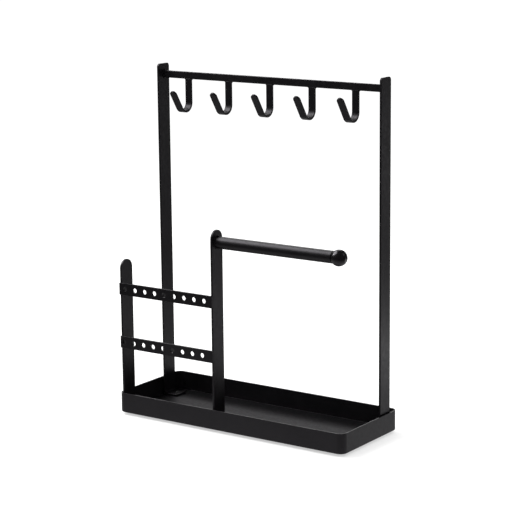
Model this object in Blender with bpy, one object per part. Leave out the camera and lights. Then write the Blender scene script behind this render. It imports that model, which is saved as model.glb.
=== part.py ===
"""Desktop hook stand: a shallow sheet-steel tray that carries a tall hook frame at the back and a
low front frame with two perforated bars and a horizontal rod that ends in a ball knob.

The model is in metres, +Z up. X runs along the tray, Y runs from its front wall to its back wall,
and the origin is on the surface that the rubber pads stand on, at the middle of the tray.
"""

import math

import bmesh
import bpy
from mathutils import Matrix, Vector

MM = 0.001
GAP = 0.2 * MM  # clearance between pieces that touch on the real stand

# Tray, one pressed sheet
TRAY_LENGTH = 252 * MM
TRAY_WIDTH = 95 * MM
TRAY_HEIGHT = 19 * MM
SHEET = 1.0 * MM
CORNER_RADIUS = 7 * MM
FOLD_RADIUS = 2 * MM  # outside of the fold between floor and walls

# Rubber pads under the tray
PAD_HEIGHT = 2.5 * MM
PAD_RADIUS = 5 * MM
PAD_X = 95 * MM
PAD_Y = 31 * MM

# The flat strip that all four posts are bent from
STRIP_WIDTH = 16.5 * MM
STRIP_THICKNESS = 2 * MM
BEND_RADIUS = 3 * MM  # to the middle of the strip
FOOT_LENGTH = 16 * MM  # from a post's outer face to the end of its foot
FOOT_CORNER = 2.5 * MM

# Tall rear frame, heights above the tray's underside
TALL_TOP = 325.5 * MM
TALL_CORNER = 3 * MM
TALL_OUTER_X = 123.8 * MM  # outer faces of the two tall posts
TALL_Y = 28 * MM
RAIL_HEIGHT = 6.8 * MM
RAIL_THICKNESS = 2.5 * MM
RAIL_Z = 315.5 * MM

# Hooks, one narrow strip each
HOOK_COUNT = 5
HOOK_PITCH = 46.2 * MM
HOOK_WIDTH = 7 * MM
HOOK_THICKNESS = 2 * MM
HOOK_DROP = 29.3 * MM  # from the rail's underside to the middle hook's lowest point
HOOK_REACH = 26.4 * MM  # from the middle hook's shank forward to its tip
HOOK_DRIFT = 0.7 * MM  # how much higher each strip is bent than the one to its left
HOOK_BEND_RADIUS = 8 * MM  # to the middle of the strip
HOOK_BEND_ANGLE = 147  # degrees from the shank round to the leg

# Low front frame
FRONT_Y = -35.4 * MM  # middle of the two front posts
LOW_POST_OUTER_X = -123.6 * MM
LOW_POST_TOP = 146.8 * MM
ROD_POST_X = -17 * MM  # middle of the post that carries the rod
ROD_POST_TOP = 185.6 * MM
BAR_HEIGHT = 11.5 * MM
BAR_THICKNESS = 1.5 * MM
BARS = [
    # name, height of its middle, how far its row of holes is off the bar's middle
    ("upper_bar", 119.9 * MM, -1.1 * MM),
    ("lower_bar", 68.4 * MM, -3.9 * MM),
]
BAR_HOLES = 9
BAR_HOLE_RADIUS = 2.25 * MM
BAR_HOLE_PITCH = 11.4 * MM

# Rod and knob
ROD_RADIUS = 5.7 * MM
ROD_Z = 174 * MM
ROD_END_X = 109 * MM
KNOB_RADIUS = 7.5 * MM
KNOB_CENTRE_X = 114.5 * MM
STUD_RADIUS = 2 * MM
STUD_LENGTH = 7 * MM

# M4 screws
SCREW_RADIUS = 2 * MM
SCREW_BORE = SCREW_RADIUS + GAP
TRAY_HOLE_RADIUS = 2.4 * MM
THIN_HEAD_RADIUS = 3.75 * MM
THIN_HEAD_HEIGHT = 1.5 * MM
PAN_HEAD_RADIUS = 3.8 * MM
PAN_HEAD_HEIGHT = 2.4 * MM
ROD_SCREW_LENGTH = 12 * MM
RECESS_LENGTH = 4 * MM
RECESS_WIDTH = 0.9 * MM

# Facets of the round shapes
CORNER_STEPS = 8
BEND_STEPS = 8
HOOK_STEPS = 16
END_STEPS = 7
HOLE_SIDES = 20
ROUND_SIDES = 32

BLACK = (0.012, 0.012, 0.013)
STEEL = (0.45, 0.45, 0.46)
RUBBER = (0.02, 0.02, 0.02)


# ---------------------------------------------------------------- scene and materials


def clear_scene():
    for item in list(bpy.data.objects):
        bpy.data.objects.remove(item, do_unlink=True)


def finish(name, colour, roughness, metallic):
    material = bpy.data.materials.new(name)
    material.use_nodes = True
    shader = material.node_tree.nodes["Principled BSDF"]
    shader.inputs["Base Color"].default_value = (*colour, 1)
    shader.inputs["Roughness"].default_value = roughness
    shader.inputs["Metallic"].default_value = metallic
    return material


def powder_coat(name):
    return finish(name + "_coat", BLACK, 0.35, 0.0)


def place(name, bm, material, place_at=Matrix()):
    """An object in the scene made from a bmesh, smooth where its faces meet at a shallow angle."""
    bmesh.ops.remove_doubles(bm, verts=bm.verts, dist=0.001 * MM)
    bmesh.ops.recalc_face_normals(bm, faces=bm.faces)
    mesh = bpy.data.meshes.new(name)
    bm.to_mesh(mesh)
    bm.free()
    mesh.shade_smooth()
    mesh.set_sharp_from_angle(angle=math.radians(35))
    item = bpy.data.objects.new(name, mesh)
    item.matrix_world = place_at
    mesh.materials.append(material)
    bpy.context.collection.objects.link(item)
    return item


def cut(item, cutter):
    """Subtract one closed shape from another; the cutter stays in the scene as a hidden guide."""
    cutter.hide_render = True
    cutter.display_type = "WIRE"
    modifier = item.modifiers.new("cut_" + cutter.name, "BOOLEAN")
    modifier.operation = "DIFFERENCE"
    modifier.solver = "EXACT"
    modifier.object = cutter


# ---------------------------------------------------------------- shapes


def loft(rings):
    """A closed shape through rings with the same number of points, capped at both ends."""
    bm = bmesh.new()
    loops = [[bm.verts.new(point) for point in ring] for ring in rings]
    for low, high in zip(loops, loops[1:]):
        for i in range(len(low)):
            j = (i + 1) % len(low)
            bm.faces.new((low[i], low[j], high[j], high[i]))
    bm.faces.new(loops[0][::-1])
    bm.faces.new(loops[-1])
    return bm


def turned(profile, sides=ROUND_SIDES):
    """A shape turned about Z from (radius, height) points that start and end on the axis."""
    bm = bmesh.new()
    points = [bm.verts.new((radius, 0, height)) for radius, height in profile]
    edges = [bm.edges.new(pair) for pair in zip(points, points[1:])]
    bmesh.ops.spin(
        bm,
        geom=points + edges,
        cent=(0, 0, 0),
        axis=(0, 0, 1),
        steps=sides,
        angle=math.tau,
        use_merge=True,
    )
    return bm


def drill(name, centre, axis, radius, length):
    """A round cutter about a hole's middle."""
    half = length / 2
    bm = turned([(0, -half), (radius, -half), (radius, half), (0, half)], HOLE_SIDES)
    turn = Vector((0, 0, 1)).rotation_difference(Vector(axis)).to_matrix().to_4x4()
    return place(name, bm, powder_coat(name), Matrix.Translation(centre) @ turn)


def arc(radius, start, end, steps):
    """(across, along) points of an arc about the origin, angles in degrees."""
    angles = [math.radians(start + (end - start) * i / steps) for i in range(steps + 1)]
    return [(radius * math.cos(a), radius * math.sin(a)) for a in angles]


def rounded_rectangle(half_x, half_y, radius, z):
    corners = [(1, 1, 0), (-1, 1, 90), (-1, -1, 180), (1, -1, 270)]
    ring = []
    for sign_x, sign_y, start in corners:
        centre_x = sign_x * (half_x - radius)
        centre_y = sign_y * (half_y - radius)
        for x, y in arc(radius, start, start + 90, CORNER_STEPS):
            ring.append((centre_x + x, centre_y + y, z))
    return ring


class Route:
    """A path in a plane made of straight runs and round bends.

    Each move is ("run", length) or ("bend", radius, degrees, steps); a positive bend turns left.
    """

    def __init__(self, start, heading, moves):
        self.parts = []
        self.stops = [0]
        point, direction, walked = Vector(start), math.radians(heading), 0
        for move in moves:
            if move[0] == "run":
                length, turn, steps = move[1], 0, 1
            else:
                turn = math.radians(move[2])
                length, steps = move[1] * abs(turn), move[3]
            self.parts.append((walked, length, point, direction, turn))
            self.stops += [walked + length * i / steps for i in range(1, steps + 1)]
            point, direction = self.step(point, direction, turn, length, length)
            walked += length
        self.length = walked

    @staticmethod
    def step(point, direction, turn, length, distance):
        if not turn:
            offset = Vector((math.cos(direction), math.sin(direction))) * distance
            return point + offset, direction
        radius = length / turn
        new_direction = direction + turn * distance / length
        across = math.sin(new_direction) - math.sin(direction)
        up = math.cos(direction) - math.cos(new_direction)
        return point + Vector((across, up)) * radius, new_direction

    def at(self, distance):
        """The point and its direction after walking a distance."""
        for walked, length, point, direction, turn in reversed(self.parts):
            if distance >= walked:
                return self.step(point, direction, turn, length, distance - walked)
        raise ValueError("distance before the start")


def rounded_end(half_width, radius):
    """(distance from the end, half width) along an end whose two corners are rounded."""
    blunt = 0.4 * MM  # half of the short flat left at the middle of a full round end
    stations = []
    for x, y in arc(radius, 90, 0, END_STEPS):
        stations.append((radius - y, max(half_width - radius + x, blunt)))
    return stations


def strip(route, width, thickness, corner_start, corner_end, to_world):
    """A flat strip that follows a route, with the corners of its two ends rounded."""
    half_width = width / 2
    widths = {}
    for distance, half in rounded_end(half_width, corner_start) if corner_start else []:
        widths[distance] = half
    for distance, half in rounded_end(half_width, corner_end) if corner_end else []:
        widths[route.length - distance] = half
    inner = [s for s in route.stops if corner_start < s < route.length - corner_end]
    ends = [s for s in (0, route.length) if s not in widths]
    for distance in inner + ends:
        widths[distance] = half_width
    rings = []
    for distance in sorted(widths):
        point, direction = route.at(distance)
        side = Vector((-math.sin(direction), math.cos(direction))) * thickness / 2
        half = widths[distance]
        corners = [(side, -half), (side, half), (-side, half), (-side, -half)]
        rings.append([to_world(*(point + offset), across) for offset, across in corners])
    return loft(rings)


# ---------------------------------------------------------------- tray and pads


def tray_level(height):
    """Height above the ground of a height above the tray's underside."""
    return PAD_HEIGHT + height


FLOOR_TOP = tray_level(SHEET)


def fold(inset, radius, rise, down):
    """Rounded-rectangle rings round the fold between the tray's floor and its walls."""
    half_x, half_y = TRAY_LENGTH / 2 - inset, TRAY_WIDTH / 2 - inset
    rings = []
    for x, y in arc(radius, 270, 360, CORNER_STEPS // 2):
        draw_in = radius - x
        z = tray_level(rise + radius + y)
        corner = CORNER_RADIUS - inset - draw_in
        rings.append(rounded_rectangle(half_x - draw_in, half_y - draw_in, corner, z))
    return rings[::-1] if down else rings


def build_tray():
    top = tray_level(TRAY_HEIGHT)
    half_x, half_y = TRAY_LENGTH / 2, TRAY_WIDTH / 2
    outer_rim = rounded_rectangle(half_x, half_y, CORNER_RADIUS, top)
    inner_rim = rounded_rectangle(half_x - SHEET, half_y - SHEET, CORNER_RADIUS - SHEET, top)
    outside = fold(0, FOLD_RADIUS, 0, False)
    inside = fold(SHEET, FOLD_RADIUS - SHEET, SHEET, True)
    bm = loft(outside + [outer_rim, inner_rim] + inside)
    return place("tray", bm, powder_coat("tray"))


def build_pad(name, x, y):
    top = PAD_HEIGHT - GAP
    edge = 0.6 * MM
    profile = [
        (0, 0),
        (PAD_RADIUS - 2 * edge, 0),
        (PAD_RADIUS - edge, edge / 3),
        (PAD_RADIUS - edge / 2, edge),
        (PAD_RADIUS, top),
        (0, top),
    ]
    rubber = finish(name + "_rubber", RUBBER, 0.8, 0.0)
    return place(name, turned(profile, 24), rubber, Matrix.Translation((x, y, 0)))


# ---------------------------------------------------------------- posts


def post_screw_x(outer_x, inward):
    """Where a foot's screw goes: the middle of the foot's flat part."""
    bend_end = STRIP_THICKNESS / 2 + BEND_RADIUS
    return outer_x + inward * (bend_end + FOOT_LENGTH) / 2


def build_post(name, outer_x, inward, y, top, corner):
    """A post whose lower end is bent inwards into a foot that lies on the tray's floor."""
    middle_x = outer_x + inward * STRIP_THICKNESS / 2
    foot_z = FLOOR_TOP + GAP + STRIP_THICKNESS / 2
    top_z = tray_level(top)
    run_down = top_z - foot_z - BEND_RADIUS
    run_in = FOOT_LENGTH - STRIP_THICKNESS / 2 - BEND_RADIUS
    moves = [("run", run_down), ("bend", BEND_RADIUS, 90 * inward, BEND_STEPS), ("run", run_in)]
    route = Route((middle_x, top_z), -90, moves)

    def to_world(x, z, across):
        return (x, y + across, z)

    bm = strip(route, STRIP_WIDTH, STRIP_THICKNESS, corner, FOOT_CORNER, to_world)
    post = place(name, bm, powder_coat(name))
    hole_at = (post_screw_x(outer_x, inward), y, foot_z)
    cut(post, drill(name + "_foot_hole", hole_at, (0, 0, 1), SCREW_BORE, 2 * STRIP_THICKNESS))
    return post


# ---------------------------------------------------------------- rear frame


def tall_inner_x():
    return TALL_OUTER_X - STRIP_THICKNESS


def build_rail():
    half_x = tall_inner_x() - GAP
    half_z = RAIL_HEIGHT / 2
    half_y = RAIL_THICKNESS / 2
    z = tray_level(RAIL_Z)
    corners = [(-half_y, -half_z), (half_y, -half_z), (half_y, half_z), (-half_y, half_z)]
    rings = [[(x, TALL_Y + dy, z + dz) for dy, dz in corners] for x in (-half_x, half_x)]
    rail = place("hook_rail", loft(rings), powder_coat("hook_rail"))
    bevel = rail.modifiers.new("soft_edges", "BEVEL")
    bevel.width = 0.4 * MM
    bevel.segments = 2
    return rail


def hook_route(lift):
    """A hook from the rail's underside: down, round the bend and up the leg, in (Y, Z).

    All the strips are equally long, so a bend that sits higher by a lift leaves a longer leg.
    """
    start_z = tray_level(RAIL_Z) - RAIL_HEIGHT / 2 - GAP
    shank = HOOK_DROP - lift - GAP - HOOK_THICKNESS / 2 - HOOK_BEND_RADIUS
    angle = math.radians(HOOK_BEND_ANGLE)
    bend_forward = HOOK_BEND_RADIUS * (1 - math.cos(angle))
    leg = (HOOK_REACH - bend_forward) / math.sin(angle) + lift
    moves = [("run", shank), ("bend", HOOK_BEND_RADIUS, -HOOK_BEND_ANGLE, HOOK_STEPS), ("run", leg)]
    flush_y = TALL_Y - (RAIL_THICKNESS - HOOK_THICKNESS) / 2
    return Route((flush_y, start_z), -90, moves)


def build_hook(name, x, lift):
    def to_world(y, z, across):
        return (x + across, y, z)

    bm = strip(hook_route(lift), HOOK_WIDTH, HOOK_THICKNESS, 0, HOOK_WIDTH / 2, to_world)
    return place(name, bm, powder_coat(name))


# ---------------------------------------------------------------- front frame


def build_bar(name, centre, hole_shift):
    left = LOW_POST_OUTER_X
    right = ROD_POST_X + STRIP_THICKNESS / 2
    back = FRONT_Y - STRIP_WIDTH / 2 - GAP
    z = tray_level(centre)
    half = BAR_HEIGHT / 2
    ring = [(left, z - half), (right, z - half), (right, z + half), (left, z + half)]
    rings = [[(x, y, height) for x, height in ring] for y in (back - BAR_THICKNESS, back)]
    bar = place(name, loft(rings), powder_coat(name))
    row_middle = (left + right) / 2 + hole_shift
    first = row_middle - BAR_HOLE_PITCH * (BAR_HOLES - 1) / 2
    for i in range(BAR_HOLES):
        centre_of_hole = (first + i * BAR_HOLE_PITCH, back - BAR_THICKNESS / 2, z)
        guide = drill(f"{name}_hole_{i + 1}", centre_of_hole, (0, 1, 0), BAR_HOLE_RADIUS, 4 * MM)
        cut(bar, guide)
    return bar


def along_x(x):
    """Stand a shape turned about Z on the rod's axis, its base at x and pointing to +X."""
    lie_down = Matrix.Rotation(math.radians(90), 4, "Y")
    return Matrix.Translation((x, FRONT_Y, tray_level(ROD_Z))) @ lie_down


def build_rod():
    start = ROD_POST_X + STRIP_THICKNESS / 2 + GAP
    length = ROD_END_X - start
    bore_depth = ROD_SCREW_LENGTH
    edge = 0.4 * MM
    profile = [
        (0, bore_depth),
        (SCREW_BORE, bore_depth),
        (SCREW_BORE, 0),
        (ROD_RADIUS - edge, 0),
        (ROD_RADIUS, edge),
        (ROD_RADIUS, length - edge),
        (ROD_RADIUS - edge, length),
        (STUD_RADIUS, length),
        (STUD_RADIUS, length + STUD_LENGTH),
        (0, length + STUD_LENGTH),
    ]
    return place("cross_rod", turned(profile), powder_coat("cross_rod"), along_x(start))


def build_knob():
    """A ball cut flat where it screws up against the rod's end."""
    start = ROD_END_X + GAP
    centre = KNOB_CENTRE_X - start
    flat_angle = math.degrees(math.acos(centre / KNOB_RADIUS))
    ball = [(x, centre - y) for y, x in arc(KNOB_RADIUS, flat_angle, 180, 16)]
    bore = STUD_RADIUS + GAP
    bore_end = STUD_LENGTH + 3 * GAP
    profile = [(0, bore_end), (bore, bore_end), (bore, 0)]
    profile += ball[:-1] + [(0, centre + KNOB_RADIUS)]
    return place("rod_knob", turned(profile), powder_coat("rod_knob"), along_x(start))


# ---------------------------------------------------------------- screws


def cross_recess(item, name, head_top, depth, place_at):
    """Cut a cross for a screwdriver into a head whose top is at a height on its own axis."""
    bottom, top = head_top - depth, head_top + depth
    for turn in (0, 90):
        half_long, half_short = RECESS_LENGTH / 2, RECESS_WIDTH / 2
        corners = [(-1, -1), (1, -1), (1, 1), (-1, 1)]
        ring = [(a * half_long, b * half_short) for a, b in corners]
        bm = loft([[(x, y, z) for x, y in ring] for z in (bottom, top)])
        label = f"{name}_recess_{turn}"
        turn_by = Matrix.Rotation(math.radians(turn), 4, "Z")
        cut(item, place(label, bm, powder_coat(label), place_at @ turn_by))


def build_foot_screw(name, x, y):
    """A thin-head screw from under the tray up into the thread of a post's foot."""
    head_base = PAD_HEIGHT - GAP  # the head's seat is against the tray's underside
    shank_top = FLOOR_TOP + GAP + STRIP_THICKNESS - head_base
    rim = 0.4 * MM
    profile = [
        (0, -THIN_HEAD_HEIGHT),
        (THIN_HEAD_RADIUS - 2 * rim, -THIN_HEAD_HEIGHT),
        (THIN_HEAD_RADIUS, -THIN_HEAD_HEIGHT + rim),
        (THIN_HEAD_RADIUS, 0),
        (SCREW_RADIUS, 0),
        (SCREW_RADIUS, shank_top - rim),
        (SCREW_RADIUS - rim, shank_top),
        (0, shank_top),
    ]
    place_at = Matrix.Translation((x, y, head_base))
    steel = finish(name + "_steel", STEEL, 0.3, 1.0)
    screw = place(name, turned(profile, 24), steel, place_at)
    cross_recess(screw, name, -THIN_HEAD_HEIGHT, 0.8 * MM, place_at)
    return screw


def build_rod_screw():
    """A pan-head screw through the rod's post into the end of the rod."""
    seat = ROD_POST_X - STRIP_THICKNESS / 2 - GAP
    tip = ROD_SCREW_LENGTH
    rim = 0.5 * MM
    profile = [
        (0, -PAN_HEAD_HEIGHT),
        (PAN_HEAD_RADIUS - 3 * rim, -PAN_HEAD_HEIGHT),
        (PAN_HEAD_RADIUS - rim, -PAN_HEAD_HEIGHT + rim),
        (PAN_HEAD_RADIUS, -PAN_HEAD_HEIGHT + 2 * rim),
        (PAN_HEAD_RADIUS, 0),
        (SCREW_RADIUS, 0),
        (SCREW_RADIUS, tip - rim),
        (SCREW_RADIUS - rim, tip),
        (0, tip),
    ]
    steel = finish("rod_screw_steel", STEEL, 0.3, 1.0)
    screw = place("rod_screw", turned(profile, 24), steel, along_x(seat))
    cross_recess(screw, "rod_screw", -PAN_HEAD_HEIGHT, 1.3 * MM, along_x(seat))
    return screw


# ---------------------------------------------------------------- the stand


def build():
    clear_scene()
    tray = build_tray()
    for i, (side_x, side_y) in enumerate([(-1, -1), (1, -1), (1, 1), (-1, 1)]):
        build_pad(f"rubber_pad_{i + 1}", side_x * PAD_X, side_y * PAD_Y)

    rod_post_outer_x = ROD_POST_X - STRIP_THICKNESS / 2
    full_round = STRIP_WIDTH / 2
    posts = [
        ("left_tall_post", -TALL_OUTER_X, 1, TALL_Y, TALL_TOP, TALL_CORNER),
        ("right_tall_post", TALL_OUTER_X, -1, TALL_Y, TALL_TOP, TALL_CORNER),
        ("front_left_post", LOW_POST_OUTER_X, 1, FRONT_Y, LOW_POST_TOP, full_round),
        ("rod_post", rod_post_outer_x, 1, FRONT_Y, ROD_POST_TOP, full_round),
    ]
    for i, (name, outer_x, inward, y, top, corner) in enumerate(posts):
        post = build_post(name, outer_x, inward, y, top, corner)
        screw_x = post_screw_x(outer_x, inward)
        hole_at = (screw_x, y, tray_level(SHEET / 2))
        cut(tray, drill(f"tray_hole_{i + 1}", hole_at, (0, 0, 1), TRAY_HOLE_RADIUS, 4 * SHEET))
        build_foot_screw(f"foot_screw_{i + 1}", screw_x, y)
        if name == "rod_post":
            rod_hole = (ROD_POST_X, y, tray_level(ROD_Z))
            guide = drill("rod_post_hole", rod_hole, (1, 0, 0), SCREW_BORE, 2 * STRIP_THICKNESS)
            cut(post, guide)

    build_rail()
    for i in range(HOOK_COUNT):
        place_in_row = i - (HOOK_COUNT - 1) / 2
        build_hook(f"hook_{i + 1}", place_in_row * HOOK_PITCH, place_in_row * HOOK_DRIFT)

    for name, centre, hole_shift in BARS:
        build_bar(name, centre, hole_shift)
    build_rod()
    build_knob()
    build_rod_screw()


build()
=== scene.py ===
"""Looks of the desktop hook stand: every visible piece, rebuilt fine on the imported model.

Metres, +Z up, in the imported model's frame. Each piece takes its place and its outer size from the
box of the CAD node that it stands for. The sizes stated here are those that a box does not tell,
such as the thickness of a bent strip, and those of details that CAD leaves out.
"""

import math

import bmesh
import bpy
from mathutils import Matrix, Vector

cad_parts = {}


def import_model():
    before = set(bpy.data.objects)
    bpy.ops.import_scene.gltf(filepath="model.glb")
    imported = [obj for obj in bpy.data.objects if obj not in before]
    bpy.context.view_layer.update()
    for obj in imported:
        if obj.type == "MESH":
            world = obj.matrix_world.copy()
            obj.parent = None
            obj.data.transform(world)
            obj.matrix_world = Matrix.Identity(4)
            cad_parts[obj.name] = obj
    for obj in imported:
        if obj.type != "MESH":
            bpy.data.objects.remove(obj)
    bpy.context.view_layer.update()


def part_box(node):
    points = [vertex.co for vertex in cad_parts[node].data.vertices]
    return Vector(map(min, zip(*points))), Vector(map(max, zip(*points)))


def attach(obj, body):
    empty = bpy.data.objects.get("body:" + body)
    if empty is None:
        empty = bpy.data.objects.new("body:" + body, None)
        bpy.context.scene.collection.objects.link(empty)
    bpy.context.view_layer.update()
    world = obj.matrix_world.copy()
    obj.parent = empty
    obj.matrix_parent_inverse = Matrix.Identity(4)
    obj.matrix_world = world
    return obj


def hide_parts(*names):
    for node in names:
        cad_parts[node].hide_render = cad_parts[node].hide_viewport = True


MM = 0.001
TOUCH = 0.2 * MM  # the clearance between CAD pieces, closed here where pieces touch
HOOKS = range(1, 6)  # the numbers in the nodes' names
FEET = range(1, 5)
TALL_POSTS = {"left_tall_post": 1, "right_tall_post": -1}  # and which way along X each foot points
LOW_POSTS = ("front_left_post", "rod_post")
BARS = ("upper_bar", "lower_bar")

# Strips and bars
STRIP_THICKNESS = 2 * MM
STRIP_BEND = 3 * MM  # to the middle of the strip
STRIP_EDGE = 0.3 * MM  # rounding of sheared edges under the coating
TALL_CORNER = 3 * MM
FOOT_CORNER = 2.5 * MM
TAP_CHAMFER = 0.35 * MM  # at the top of the foot's tapped hole
RAIL_EDGE = 0.45 * MM
HOOK_THICKNESS = 2 * MM
HOOK_EDGE = 0.3 * MM
HOOK_BEND = 8 * MM  # to the middle of the strip
HOOK_BEND_ANGLE = 147
CORNER_SPARE = 0.05 * MM  # how much rounder a square end's corners are than its edges
BAR_EDGE = 0.25 * MM
BAR_CORNER = 0.6 * MM
BAR_HOLES = 9
BAR_HOLE_RADIUS = 2.25 * MM
BAR_HOLE_PITCH = 11.4 * MM
ROW_SHIFT = {"upper_bar": -1.1 * MM, "lower_bar": -3.9 * MM}  # of the holes from the bar's middle

# Tray and pads
SHEET = 1.0 * MM
TRAY_CORNER = 7 * MM
TRAY_FOLD = 1.1 * MM  # outside of the fold between the floor and the walls
RIM_EDGE = 0.15 * MM
PAD_HEIGHT = 2.5 * MM
PAD_EDGE = 0.5 * MM
PAD_TAPER = 0.5 * MM  # how much smaller a pad's radius is at the bottom
PAD_EDGE_END = 350  # where the edge's arc runs into the tapered side, in degrees

# Rod and knob
ROD_EDGE = 0.6 * MM
COLLAR_EDGE = 0.5 * MM  # height of the coating's ring at the rod's start, and how far it stands out
KNOB_SEAM = 0.45 * MM  # depth of the groove between the rod and the ball

# Screws
THREAD_RADIUS = 2 * MM
THREAD_PITCH = 0.7 * MM
THREAD_DEPTH = 0.35 * MM
THREAD_CREST = 0.02 * MM  # how far the ridges stay inside the thread's radius
THREAD_OUTLINE = [
    # share of the pitch, and whether the ridge is at its full height there
    (0.05, False),
    (0.45, True),
    (0.55, True),
    (0.95, False),
]
THREAD_START = 0.1 * MM  # from the head
THREAD_END = 0.05 * MM  # from the tip's cone
TIP_LENGTH = 0.4 * MM
TIP_DRAW_IN = 0.5 * MM
THIN_HEAD_HEIGHT = 1.5 * MM
THIN_HEAD_DOME = 0.7 * MM
PAN_HEAD_HEIGHT = 2.4 * MM
PAN_HEAD_DOME = 1.5 * MM
RECESS_LENGTH = 4 * MM  # of the cross in a head, at the head's top
RECESS_WIDTH = 0.9 * MM
RECESS_DEPTH = 0.6  # share of the head's height
RECESS_TAPER = 0.55  # how much of its length the cross loses down to its bottom
RECESS_WALL_TAPER = 0.3  # how much of that taper its width follows
RECESS_TURN = 20  # degrees

# Welds, with the shape of a bead as shares of its leg
WELD_LEG = 1.1 * MM
HOOK_WELD_LEG = 0.9 * MM
HOOK_SIDE_WELD_LEG = 0.8 * MM
WELD_RIPPLE = 0.9 * MM
WELD_ROOT = -0.25
WELD_TOE = -0.12
WELD_BULGE = 0.88
RIPPLE_DEPTH = 0.07
BEAD_END = 0.02  # thickness squared, where a bead fades out
RAIL_WELD_INSET = 0.2 * MM
RAIL_WELD_PAST = 0.6 * MM  # how far the rail's beads run on behind it
HOOK_WELD_INSET = 0.2 * MM
HOOK_SIDE_INSET = 0.1 * MM
HOOK_SIDE_PAST = 0.3 * MM
BAR_WELD_INSET = 1.2 * MM

# Camera, set where the picture was taken from
VIEW_AZIMUTH = 34.85
VIEW_ELEVATION = 11.78
VIEW_ROLL = -0.6
VIEW_DISTANCE = 1.75
VIEW_LENS = 131.4
VIEW_SENSOR = 36
CLIP_START = 0.05
CLIP_END = 60
AIM_ALONG_IMAGE = (0.0001, 0.1535)  # aim point from the tray's underside, along right and up

# Stage
FLOOR_RADIUS = 14
FLOOR_DROP = 0.05 * MM  # below the ground that the coating mirrors
FLOOR_GREY = 0.5
FLOOR_GLOW = 0.5  # the floor's own light, which keeps contact shadows faint
FLOOR_ROUGHNESS = 0.9
GROUND_RADIUS = 6
GROUND_AMBIENT = 0.01
GROUND_POOLS = [
    # centre, radius where it ends, brightness in the middle
    ((0.00, 0.05), 0.7, 0.54),
    ((0.17, 0.06), 0.2, 0.1),
    ((0.31, 0.25), 0.16, 2.0),
    ((0.48, 0.37), 0.22, 2.1),
    ((1.10, 1.35), 0.9, 1.5),
    ((-0.5, 0.5), 0.6, 0.4),
]
ROOM_SEEN = 1.15  # brightness of the room behind everything
ROOM_MIRRORED = 0.03  # brightness of the room in reflections
LIGHTS = [
    # name, where it stands, what it points at, width, height, brightness of its face, and whether
    # it shows in reflections only, as a white wall behind the set would
    ("left_softbox", (-0.69, -0.17, 1.07), (0, 0, 0.15), 1.0, 0.8, 5.3, False),
    ("low_softbox", (-0.73, -0.30, 0.65), (0.1, 0, 0.17), 0.2, 0.2, 12.0, False),
    ("back_softbox", (-0.75, 1.05, 1.0), (0, 0, 0.1), 0.8, 0.7, 1.95, False),
    ("back_wall", (-1.6, 2.3, 0.55), (0, 0, 0.05), 1.6, 0.6, 2.6, True),
    ("right_softbox", (0.9, 0.5, 0.9), (0.1, 0, 0.1), 0.5, 0.5, 0.6, False),
]

# Colours
COAT_DARK = (0.0028, 0.0025, 0.0030)
COAT_PALE = (0.0044, 0.0039, 0.0046)
COAT_TINT = (0.97, 0.925, 1.0, 1)  # of its reflections
ZINC_WARM = (0.55, 0.54, 0.50)
ZINC_COOL = (0.60, 0.63, 0.68)
RUBBER_DARK = (0.010, 0.010, 0.010)
RUBBER_DUSTY = (0.022, 0.021, 0.020)
WHITE = (1, 1, 1, 1)
ROOM_TINT = (1.0, 0.97, 1.02, 1)  # of the room in reflections

# Smoothness
CORNER_STEPS = 14
BEND_STEPS = 14
HOOK_STEPS = 36
EDGE_STEPS = 4
PAD_EDGE_STEPS = 6
COLLAR_STEPS = 5
HEAD_STEPS = 10
KNOB_STEPS = 44
BEAD_STEPS = 6
RIPPLE_RINGS = 6  # rings of a bead to each ripple
FEWEST_RINGS = 12
BAR_BEVEL_STEPS = 2
HOLE_SIDES = 40
SMALL_SIDES = 48
ROUND_SIDES = 72
DISC_SIDES = 96
SAME_POINT = 0.0005 * MM
SHARP_ANGLE = 50  # edges that turn more than this stay crisp, in degrees

# Sockets of the Mix node when it mixes colours
MIX_FACTOR, MIX_FIRST, MIX_SECOND, MIX_RESULT = 0, 6, 7, 2
NOISE_RANGE = (0.3, 0.7)  # where most of a noise texture's values lie


# ---------------------------------------------------------------- shader helpers


def new_material(name):
    material = bpy.data.materials.new(name)
    material.use_nodes = True
    return material, material.node_tree.nodes, material.node_tree.links


def noise(nodes, links, size, detail):
    """Noise whose features are about the given size, fixed to the object."""
    place = nodes.new("ShaderNodeTexCoord")
    texture = nodes.new("ShaderNodeTexNoise")
    texture.inputs["Scale"].default_value = 1 / size
    texture.inputs["Detail"].default_value = detail
    links.new(place.outputs["Object"], texture.inputs["Vector"])
    return texture.outputs["Fac"]


def remap(nodes, links, source, low, high):
    """A noise value stretched to run from low to high."""
    node = nodes.new("ShaderNodeMapRange")
    node.inputs["From Min"].default_value = NOISE_RANGE[0]
    node.inputs["From Max"].default_value = NOISE_RANGE[1]
    node.inputs["To Min"].default_value = low
    node.inputs["To Max"].default_value = high
    links.new(source, node.inputs["Value"])
    return node.outputs["Result"]


def bump(nodes, links, height, distance, strength, under=None):
    """A normal that follows a height, on top of an earlier bump if one is given."""
    node = nodes.new("ShaderNodeBump")
    node.inputs["Distance"].default_value = distance
    node.inputs["Strength"].default_value = strength
    links.new(height, node.inputs["Height"])
    if under:
        links.new(under, node.inputs["Normal"])
    return node.outputs["Normal"]


def two_colours(nodes, links, amount, first, second):
    """A mix of two colours by an amount from 0 to 1."""
    node = nodes.new("ShaderNodeMix")
    node.data_type = "RGBA"
    node.inputs[MIX_FIRST].default_value = (*first, 1)
    node.inputs[MIX_SECOND].default_value = (*second, 1)
    links.new(amount, node.inputs[MIX_FACTOR])
    return node.outputs[MIX_RESULT]


# ---------------------------------------------------------------- materials


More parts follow.
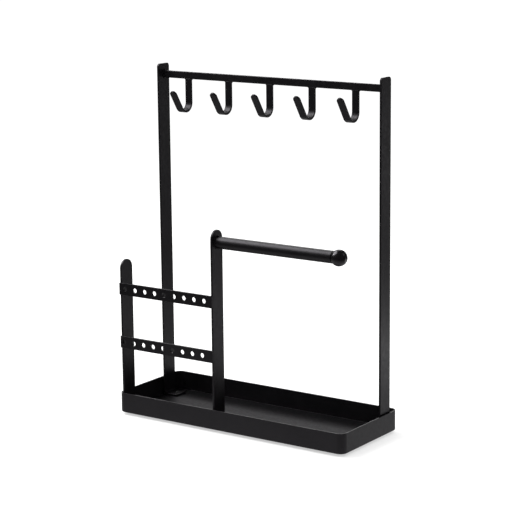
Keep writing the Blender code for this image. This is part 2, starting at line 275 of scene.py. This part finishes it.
def powder_coat(name, smoothest, roughest, mirror):
    """Black powder coat: orange peel, a finer grain, and gloss that drifts a little."""
    material, nodes, links = new_material(name)
    shader = nodes["Principled BSDF"]
    drift = remap(nodes, links, noise(nodes, links, size=22 * MM, detail=2), low=0, high=1)
    colour = two_colours(nodes, links, drift, COAT_DARK, COAT_PALE)
    links.new(colour, shader.inputs["Base Color"])
    cloud = noise(nodes, links, size=3.5 * MM, detail=4)
    gloss = remap(nodes, links, cloud, smoothest, roughest)
    links.new(gloss, shader.inputs["Roughness"])
    peel = noise(nodes, links, size=1.3 * MM, detail=2)
    peeled = bump(nodes, links, peel, distance=0.05 * MM, strength=0.35)
    grain = noise(nodes, links, size=0.3 * MM, detail=1)
    normal = bump(nodes, links, grain, distance=0.016 * MM, strength=0.35, under=peeled)
    links.new(normal, shader.inputs["Normal"])
    shader.inputs["Specular IOR Level"].default_value = mirror
    shader.inputs["Specular Tint"].default_value = COAT_TINT
    return material


def zinc_plate():
    """Bright zinc on screws, with a faint warm and cool cloud and fine marks."""
    material, nodes, links = new_material("zinc_plate")
    shader = nodes["Principled BSDF"]
    shader.inputs["Metallic"].default_value = 1
    cloud = remap(nodes, links, noise(nodes, links, size=2.2 * MM, detail=3), low=0, high=1)
    colour = two_colours(nodes, links, cloud, ZINC_WARM, ZINC_COOL)
    links.new(colour, shader.inputs["Base Color"])
    smears = noise(nodes, links, size=0.8 * MM, detail=4)
    gloss = remap(nodes, links, smears, low=0.2, high=0.36)
    links.new(gloss, shader.inputs["Roughness"])
    marks = noise(nodes, links, size=0.3 * MM, detail=3)
    normal = bump(nodes, links, marks, distance=0.01 * MM, strength=0.4)
    links.new(normal, shader.inputs["Normal"])
    return material


def black_rubber():
    """Matt black rubber with a little pale dust and a fine grain."""
    material, nodes, links = new_material("black_rubber")
    shader = nodes["Principled BSDF"]
    dust = remap(nodes, links, noise(nodes, links, size=3 * MM, detail=4), low=0, high=1)
    colour = two_colours(nodes, links, dust, RUBBER_DARK, RUBBER_DUSTY)
    links.new(colour, shader.inputs["Base Color"])
    wear = noise(nodes, links, size=1.5 * MM, detail=3)
    gloss = remap(nodes, links, wear, low=0.7, high=0.9)
    links.new(gloss, shader.inputs["Roughness"])
    grain = noise(nodes, links, size=0.35 * MM, detail=2)
    normal = bump(nodes, links, grain, distance=0.04 * MM, strength=0.6)
    links.new(normal, shader.inputs["Normal"])
    return material


# ---------------------------------------------------------------- pieces


def closed_mesh(name, bm):
    """A mesh from a shape whose seams are joined and whose faces all look outwards."""
    bmesh.ops.remove_doubles(bm, verts=bm.verts, dist=SAME_POINT)
    bmesh.ops.recalc_face_normals(bm, faces=bm.faces)
    mesh = bpy.data.meshes.new(name)
    bm.to_mesh(mesh)
    bm.free()
    return mesh


def add_piece(name, bm, material, slot, *nodes):
    """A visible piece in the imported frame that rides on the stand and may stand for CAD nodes."""
    mesh = closed_mesh(name, bm)
    mesh.shade_smooth()
    mesh.set_sharp_from_angle(angle=math.radians(SHARP_ANGLE))
    mesh.materials.append(material)
    piece = bpy.data.objects.new(name, mesh)
    bpy.context.scene.collection.objects.link(piece)
    weighted = piece.modifiers.new("even_faces", "WEIGHTED_NORMAL")
    weighted.keep_sharp = True
    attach(piece, "root")
    if nodes:
        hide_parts(*nodes)


def carve(bm, cutter):
    """A shape with another shape taken out of it."""
    made = []
    for label, source in (("whole", bm), ("cutter", cutter)):
        made.append(bpy.data.objects.new(label, closed_mesh(label, source)))
        bpy.context.scene.collection.objects.link(made[-1])
    whole, tool = made
    modifier = whole.modifiers.new("cut", "BOOLEAN")
    modifier.operation = "DIFFERENCE"
    modifier.solver = "EXACT"
    modifier.object = tool
    evaluated = whole.evaluated_get(bpy.context.evaluated_depsgraph_get())
    result = bmesh.new()
    result.from_mesh(evaluated.to_mesh())
    for item in made:
        mesh = item.data
        bpy.data.objects.remove(item)
        bpy.data.meshes.remove(mesh)
    return result


def middle(node):
    low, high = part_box(node)
    return (low + high) / 2


# ---------------------------------------------------------------- shapes


def arc(radius, start, end, steps):
    """(across, along) points of an arc about the origin, angles in degrees."""
    angles = [math.radians(start + (end - start) * i / steps) for i in range(steps + 1)]
    return [(radius * math.cos(a), radius * math.sin(a)) for a in angles]


def join_loops(bm, low, high):
    """Faces all round between two closed loops with the same number of points."""
    for i in range(len(low)):
        j = (i + 1) % len(low)
        bm.faces.new((low[i], low[j], high[j], high[i]))


def add_loft(bm, rings):
    """A shape through rings with the same number of points, closed at both ends."""
    loops = [[bm.verts.new(point) for point in ring] for ring in rings]
    for low, high in zip(loops, loops[1:]):
        join_loops(bm, low, high)
    bm.faces.new(loops[0][::-1])
    bm.faces.new(loops[-1])
    return bm


def turned(profile, sides=ROUND_SIDES):
    """A shape turned about Z from (radius, height) points that start and end on the axis."""
    bm = bmesh.new()
    points = [bm.verts.new((radius, 0, height)) for radius, height in profile]
    edges = [bm.edges.new(pair) for pair in zip(points, points[1:])]
    bmesh.ops.spin(
        bm,
        geom=points + edges,
        cent=(0, 0, 0),
        axis=(0, 0, 1),
        steps=sides,
        angle=math.tau,
        use_merge=True,
    )
    return bm


def rounded_rectangle(half_x, half_y, radius, z):
    """Points round a rectangle about the Z axis, each corner an arc."""
    corners = [(1, 1, 0), (-1, 1, 90), (-1, -1, 180), (1, -1, 270)]
    ring = []
    for sign_x, sign_y, start in corners:
        centre_x = sign_x * (half_x - radius)
        centre_y = sign_y * (half_y - radius)
        for x, y in arc(radius, start, start + 90, CORNER_STEPS):
            ring.append((centre_x + x, centre_y + y, z))
    return ring


class Route:
    """A path in a plane made of straight runs and round bends.

    Each move is ("run", length) or ("bend", radius, degrees, steps); a positive bend turns left.
    """

    def __init__(self, start, heading, moves):
        self.parts = []
        self.stops = [0]
        point, direction, walked = Vector(start), math.radians(heading), 0
        for move in moves:
            if move[0] == "run":
                length, turn, steps = move[1], 0, 1
            else:
                turn = math.radians(move[2])
                length, steps = move[1] * abs(turn), move[3]
            self.parts.append((walked, length, point, direction, turn))
            self.stops += [walked + length * i / steps for i in range(1, steps + 1)]
            point, direction = self.step(point, direction, turn, length, length)
            walked += length
        self.length = walked

    @staticmethod
    def step(point, direction, turn, length, distance):
        """The point and direction a distance into a move of a given length and turn."""
        if not turn:
            offset = Vector((math.cos(direction), math.sin(direction))) * distance
            return point + offset, direction
        radius = length / turn
        new_direction = direction + turn * distance / length
        across = math.sin(new_direction) - math.sin(direction)
        up = math.cos(direction) - math.cos(new_direction)
        return point + Vector((across, up)) * radius, new_direction

    def at(self, distance):
        """The point and its direction after walking a distance."""
        part = [part for part in self.parts if part[0] <= distance][-1]
        walked, length, point, direction, turn = part
        return self.step(point, direction, turn, length, distance - walked)


def side_outline(route, half_width, corner_start, corner_end, inset):
    """(along, across) points down one side of a flat strip's outline, drawn in by an inset."""
    points = []
    for x, y in arc(corner_start - inset, 180, 90, CORNER_STEPS):
        points.append((corner_start + x, half_width - corner_start + y))
    for stop in route.stops:
        if corner_start < stop < route.length - corner_end:
            points.append((stop, half_width - inset))
    for x, y in arc(corner_end - inset, 90, 0, CORNER_STEPS):
        points.append((route.length - corner_end + x, half_width - corner_end + y))
    return points


def strip(route, width, thickness, corner_start, corner_end, edge, to_world):
    """A flat strip along a route, with rounded ends and every long edge eased.

    to_world turns (point in the route's plane, distance across) into a point in the frame.
    """
    layers = [(edge - x, thickness / 2 - edge + y) for x, y in arc(edge, 0, 90, EDGE_STEPS)]
    layers = [(inset, -level) for inset, level in layers[::-1]] + layers
    bm = bmesh.new()
    sides = []
    for inset, level in layers:
        left, right = [], []
        for along, across in side_outline(route, width / 2, corner_start, corner_end, inset):
            point, direction = route.at(along)
            lift = Vector((-math.sin(direction), math.cos(direction))) * level
            left.append(bm.verts.new(to_world(*(point + lift), across)))
            right.append(bm.verts.new(to_world(*(point + lift), -across)))
        sides.append((left, right))
    count = len(sides[0][0])
    for (left_low, right_low), (left_high, right_high) in zip(sides, sides[1:]):
        join_loops(bm, left_low + right_low[::-1], left_high + right_high[::-1])
    for left, right in (sides[0], sides[-1]):
        for i in range(count - 1):
            bm.faces.new((left[i], left[i + 1], right[i + 1], right[i]))
    return bm


def weld_bead(bm, start, end, side_a, side_b, leg=WELD_LEG):
    """One rippled fillet along a joint, in the corner between two surfaces.

    side_a and side_b point away from the corner, each along one surface.
    """
    run = Vector(end) - Vector(start)
    length = run.length
    count = max(FEWEST_RINGS, round(length / (WELD_RIPPLE / RIPPLE_RINGS)))
    section = [(WELD_ROOT, WELD_ROOT), (1.0, WELD_TOE)]
    for x, y in arc(1, 0, 90, BEAD_STEPS):
        section.append((WELD_BULGE * x + 1 - WELD_BULGE, WELD_BULGE * y + 1 - WELD_BULGE))
    section += [(WELD_TOE, 1.0)]
    rings = []
    for i in range(count + 1):
        share = i / count
        from_middle = abs(2 * share - 1)
        taper = math.sqrt(max(1 - from_middle**4, BEAD_END))
        ripple = 1 + RIPPLE_DEPTH * math.cos(math.tau * share * length / WELD_RIPPLE)
        scale = leg * taper * ripple
        centre = Vector(start) + run * share
        rings.append([centre + side_a * a * scale + side_b * b * scale for a, b in section])
    add_loft(bm, rings)


# ---------------------------------------------------------------- tray and pads


def fold_rings(half_x, half_y, inset, radius, base, down):
    """Rings round the fold between the tray's floor and its walls, going up or down."""
    rings = []
    for x, y in arc(radius, 270, 360, CORNER_STEPS // 2):
        draw_in = inset + radius - x
        corner = TRAY_CORNER - draw_in
        z = base + radius + y
        rings.append(rounded_rectangle(half_x - draw_in, half_y - draw_in, corner, z))
    return rings[::-1] if down else rings


def make_tray(coat):
    """The pressed tray: up its outside, over the rim, down its inside, as one closed sheet."""
    low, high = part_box("tray")
    half_x, half_y = high.x, high.y
    rim = []
    for x, y in arc(RIM_EDGE, 0, 90, EDGE_STEPS):
        rim.append((RIM_EDGE - x, high.z - RIM_EDGE + y))
    rim += [(SHEET - inset, z) for inset, z in rim[::-1]]
    rings = fold_rings(half_x, half_y, 0, TRAY_FOLD, low.z, False)
    for inset, z in rim:
        corner = TRAY_CORNER - inset
        rings.append(rounded_rectangle(half_x - inset, half_y - inset, corner, z))
    rings += fold_rings(half_x, half_y, SHEET, TRAY_FOLD - SHEET, low.z + SHEET, True)
    add_piece("coated_tray", add_loft(bmesh.new(), rings), coat, "tray", "tray")


def make_pad(number, rubber):
    """A round rubber pad, a little narrower at the bottom, pushed up against the tray."""
    node = f"rubber_pad_{number}"
    low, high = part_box(node)
    radius = (high.x - low.x) / 2
    height = high.z - low.z + TOUCH
    inner = radius - PAD_TAPER - PAD_EDGE
    edge = arc(PAD_EDGE, 270, PAD_EDGE_END, PAD_EDGE_STEPS)
    rounding = [(inner + x, PAD_EDGE + y) for x, y in edge]
    profile = [(0, 0)] + rounding + [(radius, height), (0, height)]
    bm = turned(profile, SMALL_SIDES)
    bm.transform(Matrix.Translation((*middle(node).xy, low.z)))
    add_piece(f"moulded_pad_{number}", bm, rubber, node, node)


# ---------------------------------------------------------------- posts


def make_post(node, inward, corner, coat):
    """A post bent inwards at its foot, with the foot's tapped hole."""
    low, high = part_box(node)
    face = STRIP_THICKNESS / 2
    outer_x = low.x if inward > 0 else high.x
    foot_z = low.z - TOUCH + face
    across_y = middle(node).y
    moves = [
        ("run", high.z - foot_z - STRIP_BEND),
        ("bend", STRIP_BEND, 90 * inward, BEND_STEPS),
        ("run", high.x - low.x - face - STRIP_BEND),
    ]
    route = Route((outer_x + inward * face, high.z), -90, moves)

    def to_world(x, z, across):
        return (x, across_y + across, z)

    width = high.y - low.y
    bm = strip(route, width, STRIP_THICKNESS, corner, FOOT_CORNER, STRIP_EDGE, to_world)
    drill = [
        (0, -STRIP_THICKNESS),
        (THREAD_RADIUS, -STRIP_THICKNESS),
        (THREAD_RADIUS, face - TAP_CHAMFER),
        (THREAD_RADIUS + 2 * TAP_CHAMFER, face + TAP_CHAMFER),
        (0, face + TAP_CHAMFER),
    ]
    cutter = turned(drill, SMALL_SIDES)
    flat_start = outer_x + inward * (face + STRIP_BEND)
    flat_end = low.x + high.x - outer_x
    cutter.transform(Matrix.Translation(((flat_start + flat_end) / 2, across_y, foot_z)))
    add_piece("coated_" + node, carve(bm, cutter), coat, node, node)


# ---------------------------------------------------------------- rear frame


def make_rail(coat):
    """The crossbar between the tall posts, its ends let into them by the width of its edges."""
    low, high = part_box("hook_rail")
    centre = middle("hook_rail")
    start_x = low.x - TOUCH - RAIL_EDGE
    length = high.x - low.x + 2 * (TOUCH + RAIL_EDGE)
    route = Route((start_x, centre.y), 0, [("run", length)])

    def to_world(x, y, across):
        return (x, y, centre.z + across)

    corner = RAIL_EDGE + CORNER_SPARE
    bm = strip(route, high.z - low.z, high.y - low.y, corner, corner, RAIL_EDGE, to_world)
    add_piece("coated_hook_rail", bm, coat, "hook_rail", "hook_rail")


def make_hook(node, coat):
    """A J of flat strip: shank down from the rail, a wide bend, and a leg up to a round end."""
    low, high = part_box(node)
    angle = math.radians(HOOK_BEND_ANGLE)
    half = HOOK_THICKNESS / 2
    shank_y = high.y - half
    start_z = high.z + TOUCH + HOOK_EDGE
    shank = start_z - low.z - half - HOOK_BEND
    tip_y = low.y - half * math.cos(angle)
    bend_forward = HOOK_BEND * (1 - math.cos(angle))
    leg = (shank_y - tip_y - bend_forward) / math.sin(angle)
    bend = ("bend", HOOK_BEND, -HOOK_BEND_ANGLE, HOOK_STEPS)
    route = Route((shank_y, start_z), -90, [("run", shank), bend, ("run", leg)])
    centre_x = middle(node).x

    def to_world(y, z, across):
        return (centre_x + across, y, z)

    width = high.x - low.x
    corner = HOOK_EDGE + CORNER_SPARE
    bm = strip(route, width, HOOK_THICKNESS, corner, width / 2, HOOK_EDGE, to_world)
    add_piece("coated_" + node, bm, coat, node, node)


def rear_welds(coat):
    """Fillets where the rail meets the tall posts and where each hook hangs from the rail."""
    low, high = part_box("hook_rail")
    up, back = Vector((0, 0, 1)), Vector((0, 1, 0))
    for side, name in ((-1, "left"), (1, "right")):
        bm = bmesh.new()
        x = side * (high.x + TOUCH)
        inward = Vector((-side, 0, 0))
        for z, away in ((high.z, up), (low.z, -up)):
            start = (x, low.y + RAIL_WELD_INSET, z)
            weld_bead(bm, start, (x, high.y + RAIL_WELD_PAST, z), inward, away)
        weld_bead(bm, (x, high.y, low.z), (x, high.y, high.z), inward, back)
        add_piece(f"weld_rail_{name}", bm, coat, "hook_rail")
    for number in HOOKS:
        node = f"hook_{number}"
        hook_low, hook_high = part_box(node)
        bm = bmesh.new()
        start = (hook_low.x + HOOK_WELD_INSET, hook_high.y, low.z)
        end = (hook_high.x - HOOK_WELD_INSET, hook_high.y, low.z)
        weld_bead(bm, start, end, back, -up, HOOK_WELD_LEG)
        for x, out in ((hook_low.x, -1), (hook_high.x, 1)):
            start = (x, hook_high.y - HOOK_THICKNESS + HOOK_SIDE_INSET, low.z)
            end = (x, hook_high.y + HOOK_SIDE_PAST, low.z)
            weld_bead(bm, start, end, Vector((out, 0, 0)), -up, HOOK_SIDE_WELD_LEG)
        add_piece("weld_" + node, bm, coat, node)


# ---------------------------------------------------------------- front frame


def ring_spline(curve, points):
    """Add a closed outline to a flat curve."""
    spline = curve.splines.new("POLY")
    spline.points.add(len(points) - 1)
    for target, (x, y) in zip(spline.points, points):
        target.co = (x, y, 0, 1)
    spline.use_cyclic_u = True


def make_bar(node, coat):
    """A perforated bar: flat plate, a row of punched holes, all edges eased by the coating."""
    low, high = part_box(node)
    centre = middle(node)
    half_x = (high.x - low.x) / 2
    half_z = (high.z - low.z) / 2
    depth = high.y - low.y + TOUCH
    curve = bpy.data.curves.new(node, "CURVE")
    curve.dimensions = "2D"
    curve.fill_mode = "BOTH"
    curve.extrude = depth / 2 - BAR_EDGE
    curve.bevel_depth = BAR_EDGE
    curve.bevel_resolution = BAR_BEVEL_STEPS
    corner = BAR_CORNER - BAR_EDGE
    outline = rounded_rectangle(half_x - BAR_EDGE, half_z - BAR_EDGE, corner, 0)
    ring_spline(curve, [(x, y) for x, y, _ in outline])
    hole = arc(BAR_HOLE_RADIUS + BAR_EDGE, 360, 0, HOLE_SIDES)[:-1]
    for i in range(BAR_HOLES):
        hole_x = ROW_SHIFT[node] + (i - (BAR_HOLES - 1) / 2) * BAR_HOLE_PITCH
        ring_spline(curve, [(hole_x + x, y) for x, y in hole])
    guide = bpy.data.objects.new(node + "_plate", curve)
    bpy.context.scene.collection.objects.link(guide)
    evaluated = guide.evaluated_get(bpy.context.evaluated_depsgraph_get())
    bm = bmesh.new()
    bm.from_mesh(evaluated.to_mesh())
    bpy.data.objects.remove(guide)
    bpy.data.curves.remove(curve)
    stand_up = Matrix.Rotation(math.radians(90), 4, "X")
    place = Matrix.Translation((centre.x, (low.y + high.y + TOUCH) / 2, centre.z))
    bm.transform(place @ stand_up)
    add_piece("coated_" + node, bm, coat, node, node)


def bar_welds(coat):
    """Fillets behind the bars, in the corners between a bar's back and a post's inner faces."""
    right = Vector((1, 0, 0))
    back = Vector((0, 1, 0))
    left_post_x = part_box("front_left_post")[0].x + STRIP_THICKNESS
    rod_post_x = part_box("rod_post")[0].x
    for node in BARS:
        low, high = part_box(node)
        y = high.y + TOUCH
        bm = bmesh.new()
        for x, along in ((left_post_x, right), (rod_post_x, -right)):
            start = (x, y, low.z + BAR_WELD_INSET)
            weld_bead(bm, start, (x, y, high.z - BAR_WELD_INSET), along, back)
        add_piece("weld_" + node, bm, coat, node)


def lying_at(x, node):
    """The transform that turns a shape from Z to +X and puts its base on a node's axis at x."""
    centre = middle(node)
    lie_down = Matrix.Rotation(math.radians(90), 4, "Y")
    return Matrix.Translation((x, centre.y, centre.z)) @ lie_down


def make_rod(coat):
    """The rod, from the face of its post to the knob, with both ends' edges rounded."""
    low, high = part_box("cross_rod")
    radius = (high.z - low.z) / 2
    start = low.x - TOUCH
    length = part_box("rod_knob")[0].x - TOUCH - start
    first = [(radius - ROD_EDGE + x, ROD_EDGE + y) for x, y in arc(ROD_EDGE, 270, 360, EDGE_STEPS)]
    last = [(r, length - height) for r, height in first[::-1]]
    profile = [(0, 0)] + first + last + [(0, length)]
    bm = turned(profile)
    bm.transform(lying_at(start, "cross_rod"))
    add_piece("coated_cross_rod", bm, coat, "cross_rod", "cross_rod")


def make_knob(coat):
    """A ball cut flat at the rod's end, with a narrow groove where the two meet."""
    low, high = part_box("rod_knob")
    radius = (high.z - low.z) / 2
    start = low.x - TOUCH
    centre = high.x - radius - start
    flat_angle = math.degrees(math.acos((centre - KNOB_SEAM) / radius))
    ball = [(x, centre - y) for y, x in arc(radius, flat_angle, 180, KNOB_STEPS)]
    neck = ball[0][0] - KNOB_SEAM
    profile = [(0, 0), (neck, 0), (neck, KNOB_SEAM)] + ball[:-1] + [(0, centre + radius)]
    bm = turned(profile)
    bm.transform(lying_at(start, "cross_rod"))
    add_piece("coated_rod_knob", bm, coat, "rod_knob", "rod_knob")


def make_collar(coat):
    """The thin ring of coating in the joint between the rod's start and its post.

    The arc starts at its upper end, so the profile meets its own outer corner again.
    """
    low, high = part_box("cross_rod")
    outside = (high.z - low.z) / 2 + COLLAR_EDGE
    ring = [(0, 0), (outside, 0)]
    for y, x in arc(COLLAR_EDGE, 90, 0, COLLAR_STEPS)[1:]:
        ring.append((outside - x, COLLAR_EDGE - y))
    ring += [(0, COLLAR_EDGE)]
    bm = turned(ring)
    bm.transform(lying_at(low.x - TOUCH, "cross_rod"))
    add_piece("collar_cross_rod", bm, coat, "cross_rod")


# ---------------------------------------------------------------- screws


def thread(start, end):
    """(radius, height) points of a thread's ridges between two heights."""
    root = THREAD_RADIUS - THREAD_DEPTH
    crest = THREAD_RADIUS - THREAD_CREST
    count = max(1, round((end - start) / THREAD_PITCH))
    pitch = (end - start) / count
    points = []
    for i in range(count):
        for share, is_crest in THREAD_OUTLINE:
            points.append((crest if is_crest else root, start + i * pitch + share * pitch))
    return points


def cross_cutter(depth):
    """A cross that narrows downwards, from depth above a head's top at 0 to depth below it."""
    rings = []
    for z, share in ((-depth, 1 + RECESS_TAPER), (depth, 1 - RECESS_TAPER)):
        long = RECESS_LENGTH / 2 * share
        short = RECESS_WIDTH / 2 * (1 - RECESS_WALL_TAPER + RECESS_WALL_TAPER * share)
        ring = [(short, -long), (short, -short), (long, -short)]
        for _ in range(3):
            ring += [(-y, x) for x, y in ring[-3:]]
        rings.append([(x, y, z) for x, y in ring])
    return add_loft(bmesh.new(), rings)


def make_screw(node, radius, height, dome, length, place, zinc):
    """A screw along its own +Z from the top of its head at 0: head, recess, thread and tip."""
    rounding = []
    for x, y in arc(1, 90, 0, HEAD_STEPS):
        rounding.append((radius - dome + dome * x, dome - dome * y))
    head = [(0, 0)] + rounding + [(radius, height), (THREAD_RADIUS, height)]
    tip = length - TIP_LENGTH
    end = [(THREAD_RADIUS - THREAD_DEPTH, tip), (THREAD_RADIUS - TIP_DRAW_IN, length), (0, length)]
    body = turned(head + thread(height + THREAD_START, tip - THREAD_END) + end, SMALL_SIDES)
    cutter = cross_cutter(RECESS_DEPTH * height)
    cutter.transform(Matrix.Rotation(math.radians(RECESS_TURN), 4, "Z"))
    bm = carve(body, cutter)
    bm.transform(place)
    add_piece("plated_" + node, bm, zinc, node, node)


def make_screws(zinc):
    """The four screws under the feet, heads down, and the one behind the rod."""
    for number in FEET:
        node = f"foot_screw_{number}"
        low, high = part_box(node)
        size = ((high.x - low.x) / 2, THIN_HEAD_HEIGHT + TOUCH, THIN_HEAD_DOME, high.z - low.z)
        make_screw(node, *size, Matrix.Translation((*middle(node).xy, low.z)), zinc)
    low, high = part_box("rod_screw")
    size = ((high.z - low.z) / 2, PAN_HEAD_HEIGHT + TOUCH, PAN_HEAD_DOME, high.x - low.x)
    make_screw("rod_screw", *size, lying_at(low.x, "rod_screw"), zinc)


# ---------------------------------------------------------------- stage


def flat_disc(name, radius, z, material):
    """A round flat part of the stage."""
    bm = bmesh.new()
    bmesh.ops.create_circle(bm, cap_ends=True, segments=DISC_SIDES, radius=radius)
    bmesh.ops.translate(bm, verts=bm.verts, vec=(0, 0, z))
    mesh = bpy.data.meshes.new(name)
    bm.to_mesh(mesh)
    bm.free()
    mesh.materials.append(material)
    disc = bpy.data.objects.new(name, mesh)
    bpy.context.scene.collection.objects.link(disc)
    return disc


def make_floor():
    """A plain pale floor with a weak glow, which the coating does not mirror."""
    material, nodes, _ = new_material("floor_paint")
    shader = nodes["Principled BSDF"]
    shader.inputs["Base Color"].default_value = (FLOOR_GREY, FLOOR_GREY, FLOOR_GREY, 1)
    shader.inputs["Emission Color"].default_value = WHITE
    shader.inputs["Emission Strength"].default_value = FLOOR_GLOW
    shader.inputs["Roughness"].default_value = FLOOR_ROUGHNESS
    shader.inputs["Specular IOR Level"].default_value = 0
    floor = flat_disc("floor", FLOOR_RADIUS, -FLOOR_DROP, material)
    floor.visible_glossy = False


def make_mirrored_ground():
    """The dimmer ground with brighter pools that shows in the coating in place of the floor."""
    material, nodes, links = new_material("mirrored_ground")
    nodes.remove(nodes["Principled BSDF"])
    emitter = nodes.new("ShaderNodeEmission")
    emitter.inputs["Color"].default_value = WHITE
    links.new(emitter.outputs[0], nodes["Material Output"].inputs["Surface"])
    place = nodes.new("ShaderNodeTexCoord")
    total = None
    for centre, radius, strength in GROUND_POOLS:
        far = nodes.new("ShaderNodeVectorMath")
        far.operation = "DISTANCE"
        far.inputs[1].default_value = (*centre, 0)
        links.new(place.outputs["Object"], far.inputs[0])
        fade = nodes.new("ShaderNodeMapRange")
        fade.interpolation_type = "SMOOTHERSTEP"
        fade.inputs["From Min"].default_value = 0
        fade.inputs["From Max"].default_value = radius
        fade.inputs["To Min"].default_value = strength
        fade.inputs["To Max"].default_value = 0
        links.new(far.outputs["Value"], fade.inputs["Value"])
        add = nodes.new("ShaderNodeMath")
        add.operation = "ADD"
        add.inputs[0].default_value = GROUND_AMBIENT
        if total:
            links.new(total, add.inputs[0])
        links.new(fade.outputs["Result"], add.inputs[1])
        total = add.outputs[0]
    links.new(total, emitter.inputs["Strength"])
    ground = flat_disc("mirrored_ground", GROUND_RADIUS, 0, material)
    ground.visible_camera = False
    ground.visible_diffuse = False
    ground.visible_transmission = False
    ground.visible_volume_scatter = False
    ground.visible_shadow = False


def make_room():
    """An even pale room that lights everything, and is dimmer in reflections."""
    world = bpy.data.worlds.new("room")
    world.use_nodes = True
    bpy.context.scene.world = world
    nodes, links = world.node_tree.nodes, world.node_tree.links
    seen = nodes["Background"]
    seen.inputs["Color"].default_value = WHITE
    seen.inputs["Strength"].default_value = ROOM_SEEN
    mirrored = nodes.new("ShaderNodeBackground")
    mirrored.inputs["Color"].default_value = ROOM_TINT
    mirrored.inputs["Strength"].default_value = ROOM_MIRRORED
    path = nodes.new("ShaderNodeLightPath")
    mix = nodes.new("ShaderNodeMixShader")
    links.new(path.outputs["Is Glossy Ray"], mix.inputs["Fac"])
    links.new(seen.outputs[0], mix.inputs[1])
    links.new(mirrored.outputs[0], mix.inputs[2])
    links.new(mix.outputs[0], nodes["World Output"].inputs["Surface"])


def make_lights():
    """Soft rectangular lights that the camera does not see."""
    for name, place, target, width, height, brightness, mirrored_only in LIGHTS:
        light = bpy.data.lights.new(name, "AREA")
        light.shape = "RECTANGLE"
        light.size = width
        light.size_y = height
        light.energy = brightness * math.pi * width * height
        lamp = bpy.data.objects.new(name, light)
        lamp.location = place
        aim = Vector(target) - Vector(place)
        lamp.rotation_euler = aim.to_track_quat("-Z", "Y").to_euler()
        lamp.visible_camera = False
        lamp.visible_diffuse = not mirrored_only
        bpy.context.scene.collection.objects.link(lamp)


def make_camera():
    """A camera on a sphere about the aim point, level but for a slight roll."""
    azimuth, elevation, roll = map(math.radians, (VIEW_AZIMUTH, VIEW_ELEVATION, VIEW_ROLL))
    flat = math.cos(elevation)
    back = Vector((math.sin(azimuth) * flat, -math.cos(azimuth) * flat, math.sin(elevation)))
    level = Vector((math.cos(azimuth), math.sin(azimuth), 0))
    lift = back.cross(level)
    right = level * math.cos(roll) + lift * math.sin(roll)
    up = lift * math.cos(roll) - level * math.sin(roll)
    aim_right, aim_up = AIM_ALONG_IMAGE
    aim = right * aim_right + up * aim_up + Vector((0, 0, PAD_HEIGHT))
    data = bpy.data.cameras.new("camera")
    data.lens = VIEW_LENS
    data.sensor_width = VIEW_SENSOR
    data.clip_start = CLIP_START
    data.clip_end = CLIP_END
    camera = bpy.data.objects.new("camera", data)
    turn = Matrix((right, up, back)).transposed().to_4x4()
    camera.matrix_world = Matrix.Translation(aim + back * VIEW_DISTANCE) @ turn
    bpy.context.scene.collection.objects.link(camera)
    bpy.context.scene.camera = camera


# ---------------------------------------------------------------- the scene


def build():
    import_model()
    make_camera()
    make_room()
    make_lights()
    make_floor()
    make_mirrored_ground()

    coat = powder_coat("powder_coat", smoothest=0.33, roughest=0.43, mirror=0.36)
    glossy_coat = powder_coat("glossy_powder_coat", smoothest=0.20, roughest=0.26, mirror=0.55)
    zinc, rubber = zinc_plate(), black_rubber()
    make_tray(coat)
    for number in FEET:
        make_pad(number, rubber)
    for node, inward in TALL_POSTS.items():
        make_post(node, inward, TALL_CORNER, coat)
    for node in LOW_POSTS:
        low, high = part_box(node)
        make_post(node, 1, (high.y - low.y) / 2, coat)
    make_rail(coat)
    for number in HOOKS:
        make_hook(f"hook_{number}", coat)
    rear_welds(coat)
    for node in BARS:
        make_bar(node, coat)
    bar_welds(coat)
    make_rod(coat)
    make_knob(glossy_coat)
    make_collar(coat)
    make_screws(zinc)
    bpy.context.scene.view_settings.view_transform = "Standard"


build()
